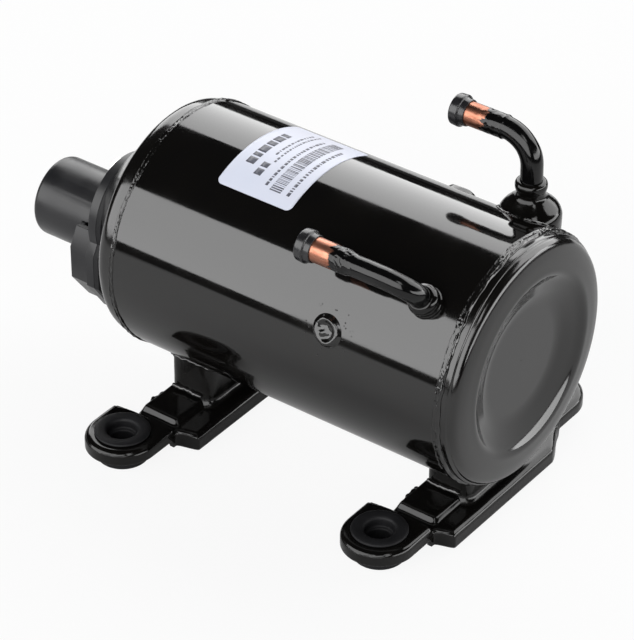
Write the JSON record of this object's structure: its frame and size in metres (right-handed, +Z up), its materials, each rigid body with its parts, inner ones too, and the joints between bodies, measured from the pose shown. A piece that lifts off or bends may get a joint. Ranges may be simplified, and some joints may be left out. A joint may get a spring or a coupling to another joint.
{
  "type": "refrigeration rotary compressor",
  "caption": "Horizontal hermetic rotary refrigeration compressor on rubber-bushed feet, with capped suction and discharge stubs and a terminal cover.",
  "frame": {"origin": "on the floor, midway between the two front mounting bolts", "axes": "+X along the shell from the terminal end to the pump end, +Y to the far side of the picture, +Z up"},
  "size_m": [0.2334, 0.1632, 0.1499],
  "materials": {
    "black_paint": "gloss black enamel",
    "copper_paint": "gloss black paint over copper tube, bare copper at the stub",
    "rubber": "moulded black rubber",
    "cover_plastic": "satin black moulded plastic",
    "label_paper": "printed paper label",
    "steel": "machined steel",
    "zinc_steel": "zinc plated",
    "iron": "machined grey iron",
    "glass": "sealing glass",
    "bakelite": "moulded phenolic",
    "laminations": "stacked electrical steel",
    "enamelled_copper": "varnished copper wire",
    "aluminium": "die cast aluminium",
    "lead_sleeving": "woven insulating sleeve",
    "brass": "turned brass"
  },
  "bodies": {
    "compressor": {"connector_block": "bakelite", "cover_nut": "zinc_steel", "cover_stud": "zinc_steel", "cover_washer": "zinc_steel", "cylinder_block": "iron", "discharge_knob": "black_paint", "discharge_pipe": "copper_paint", "discharge_socket": "copper_paint", "front_end_cap": "black_paint", "front_foot_plate": "black_paint", "front_foot_saddle": "black_paint", "front_weld_bead": "black_paint", "glass_seals": "glass", "grommet_front_left": "rubber", "grommet_front_right": "rubber", "grommet_rear_left": "rubber", "grommet_rear_right": "rubber", "hermetic_header": "steel", "main_shell": "black_paint", "muffler": "steel", "oil_tube": "steel", "overload_protector": "bakelite", "plug_welds": "black_paint", "protector_spring": "steel", "pump_bolts": "zinc_steel", "pump_frame": "iron", "rating_label": "label_paper", "rear_end_cap": "black_paint", "rear_foot_plate": "black_paint", "rear_foot_saddle": "black_paint", "rear_weld_bead": "black_paint", "spring_seat": "steel", "stator_core": "laminations", "stator_windings": "enamelled_copper", "stop_rivet": "steel", "sub_bearing": "iron", "suction_boss": "black_paint", "suction_inlet_tube": "steel", "suction_pipe": "copper_paint", "terminal_cover": "cover_plastic", "terminal_gasket": "rubber", "terminal_pins": "steel", "valve_stop": "steel", "winding_leads": "lead_sleeving"},
    "crank": {"crankshaft": "steel", "rotor_core": "laminations", "rotor_end_rings": "aluminium", "balance_weight": "brass"},
    "roller": {"roller": "steel"},
    "vane": {"vane": "steel", "vane_spring": "steel"},
    "reed": {"discharge_reed": "steel"},
    "suction_plug": {"suction_cap": "rubber"},
    "discharge_plug": {"discharge_cap": "rubber"}
  },
  "joints": [
    {"name": "crank_spin", "type": "hinge", "parent": "compressor", "child": "crank", "pos_m": [0.00435, 0, 0.0683], "axis": [1, 0, 0], "continuous": true},
    {"name": "roller_spin", "type": "hinge", "parent": "crank", "child": "roller", "pos_m": [0.00435, 0.00283, 0.07113], "axis": [1, 0, 0], "continuous": true},
    {"name": "vane_slide", "type": "slide", "parent": "compressor", "child": "vane", "axis": [0, 0, -1], "range_m": [-0.0067, 0], "stiffness_N_per_m": 150, "springref_m": -0.0067, "deforming": ["vane_spring"]},
    {"name": "reed_lift", "type": "hinge", "parent": "compressor", "child": "reed", "pos_m": [-0.01195, 0.021, 0.0508], "axis": [0, 0, -1], "range_deg": [0, 7], "stiffness_Nm_per_rad": 0.02},
    {"name": "suction_cap_pull", "type": "slide", "parent": "compressor", "child": "suction_plug", "axis": [-1, 0, 0], "range_m": [0, 0.03]},
    {"name": "discharge_cap_pull", "type": "slide", "parent": "compressor", "child": "discharge_plug", "axis": [-1, 0, 0], "range_m": [0, 0.03]}
  ],
  "couplings": [
    {"joint": "roller_spin", "follows": "crank_spin", "ratio": -1.2523}
  ]
}
